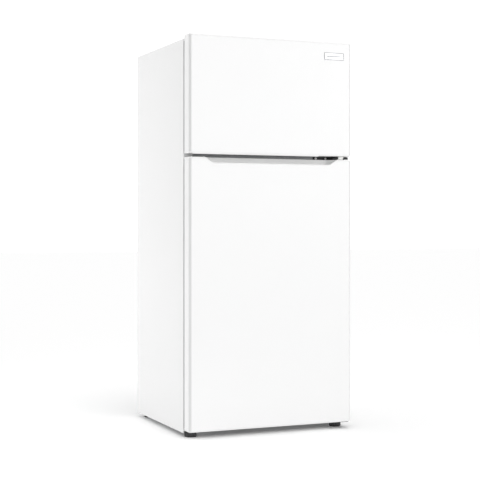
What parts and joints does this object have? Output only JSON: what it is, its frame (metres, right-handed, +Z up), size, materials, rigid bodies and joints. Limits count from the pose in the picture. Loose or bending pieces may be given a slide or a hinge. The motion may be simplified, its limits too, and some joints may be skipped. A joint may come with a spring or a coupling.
{
  "type": "top freezer refrigerator",
  "caption": "White two-door refrigerator with the freezer compartment on top, a handle recess in the lower door top edge, right-hand hinges, shelves, drawers and door bins.",
  "frame": {"origin": "centre of the bounding box, at floor level", "axes": "+Z up; the doors face -Y; +X is to the right seen from the front, the hinge side"},
  "size_m": [0.76, 0.6886, 1.7035],
  "materials": {
    "white_enamel": "gloss",
    "white_plastic": "satin",
    "liner_plastic": "satin",
    "clear_plastic": "gloss",
    "shelf_glass": "gloss",
    "seal_rubber": "matte",
    "foam": "matte",
    "galvanised_steel": "satin",
    "black_steel": "satin",
    "zinc_steel": "satin",
    "nylon": "satin",
    "foot_plastic": "matte",
    "compressor_black": "satin",
    "copper": "satin",
    "aluminium": "satin",
    "badge_metal": "satin"
  },
  "bodies": {
    "cabinet": {"cabinet_shell": "white_enamel", "back_panel": "galvanised_steel", "bottom_plate": "galvanised_steel", "cabinet_foam": "foam", "freezer_liner": "liner_plastic", "fridge_liner": "liner_plastic", "mullion_rail": "galvanised_steel", "front_rail": "black_steel", "rear_roller_bracket_left": "zinc_steel", "rear_roller_bracket_right": "zinc_steel", "top_hinge_bracket": "zinc_steel", "top_hinge_cover": "white_plastic", "middle_hinge_bracket": "black_steel", "middle_hinge_cam": "nylon", "bottom_hinge_bracket": "black_steel", "base_pan": "galvanised_steel", "compressor": "compressor_black", "condenser_coil": "copper", "drip_tray": "foot_plastic", "machine_cover": "galvanised_steel", "power_inlet_gland": "foot_plastic", "evaporator": "aluminium", "evaporator_cover": "liner_plastic", "evaporator_fan_motor": "galvanised_steel", "freezer_shelf": "white_enamel", "fridge_shelf_lower": "shelf_glass", "fridge_shelf_upper": "shelf_glass", "crisper_cover": "shelf_glass", "control_housing": "white_plastic", "lamp_cover": "clear_plastic"},
    "freezer_door": {"freezer_door_skin": "white_enamel", "freezer_door_top_cap": "white_plastic", "freezer_door_bottom_cap": "white_plastic", "freezer_door_bush": "nylon", "freezer_door_foam": "foam", "freezer_door_liner": "liner_plastic", "freezer_door_seal": "seal_rubber", "freezer_door_bin_lower": "clear_plastic", "freezer_door_bin_upper": "clear_plastic", "badge": "badge_metal"},
    "fridge_door": {"fridge_door_skin": "white_enamel", "fridge_door_handle_cap": "white_plastic", "fridge_door_bottom_cap": "white_plastic", "fridge_door_bush": "nylon", "fridge_door_foam": "foam", "fridge_door_liner": "liner_plastic", "fridge_door_seal": "seal_rubber", "fridge_door_bin_lower": "clear_plastic", "fridge_door_bin_middle": "clear_plastic", "dairy_bin": "clear_plastic"},
    "dairy_lid": {"dairy_lid": "clear_plastic"},
    "crisper_left": {"crisper_left": "clear_plastic"},
    "crisper_right": {"crisper_right": "clear_plastic"},
    "temperature_knob": {"temperature_knob": "white_plastic"},
    "door_switch_button": {"door_switch_button": "white_plastic"},
    "evaporator_fan": {"evaporator_fan_blade": "white_plastic"},
    "rear_roller_left": {"rear_roller_left": "foot_plastic"},
    "rear_roller_right": {"rear_roller_right": "foot_plastic"},
    "front_foot_left": {"front_foot_left": "foot_plastic"},
    "front_foot_right": {"front_foot_right": "foot_plastic"}
  },
  "joints": [
    {"name": "freezer_door_swing", "type": "hinge", "parent": "cabinet", "child": "freezer_door", "pos_m": [0.354, -0.3167, 1.443], "axis": [0, 0, 1], "range_deg": [0, 125]},
    {"name": "fridge_door_swing", "type": "hinge", "parent": "cabinet", "child": "fridge_door", "pos_m": [0.354, -0.3167, 0.6025], "axis": [0, 0, 1], "range_deg": [0, 125]},
    {"name": "dairy_lid_lift", "type": "hinge", "parent": "fridge_door", "child": "dairy_lid", "pos_m": [-0.1445, -0.2767, 1.037], "axis": [1, 0, 0], "range_deg": [0, 88]},
    {"name": "crisper_left_slide", "type": "slide", "parent": "cabinet", "child": "crisper_left", "axis": [0, -1, 0], "range_m": [0, 0.1]},
    {"name": "crisper_right_slide", "type": "slide", "parent": "cabinet", "child": "crisper_right", "axis": [0, -1, 0], "range_m": [0, 0.1]},
    {"name": "temperature_knob_turn", "type": "hinge", "parent": "cabinet", "child": "temperature_knob", "pos_m": [0.11, -0.2427, 1.118], "axis": [0, -1, 0], "range_deg": [-140, 140]},
    {"name": "door_switch_travel", "type": "slide", "parent": "cabinet", "child": "door_switch_button", "axis": [0, -1, 0], "range_m": [0, 0.008]},
    {"name": "evaporator_fan_spin", "type": "hinge", "parent": "cabinet", "child": "evaporator_fan", "pos_m": [0, 0.2305, 1.53], "axis": [0, 1, 0], "continuous": true},
    {"name": "rear_roller_left_spin", "type": "hinge", "parent": "cabinet", "child": "rear_roller_left", "pos_m": [-0.352, 0.2943, 0.016], "axis": [1, 0, 0], "continuous": true},
    {"name": "rear_roller_right_spin", "type": "hinge", "parent": "cabinet", "child": "rear_roller_right", "pos_m": [0.352, 0.2943, 0.016], "axis": [1, 0, 0], "continuous": true},
    {"name": "front_foot_left_adjust", "type": "slide", "parent": "cabinet", "child": "front_foot_left", "axis": [0, 0, -1], "range_m": [0, 0.012]},
    {"name": "front_foot_right_adjust", "type": "slide", "parent": "cabinet", "child": "front_foot_right", "axis": [0, 0, -1], "range_m": [0, 0.012]}
  ],
  "couplings": [
    {"joint": "door_switch_travel", "follows": "fridge_door_swing", "m_per_rad": 0.003438}
  ]
}
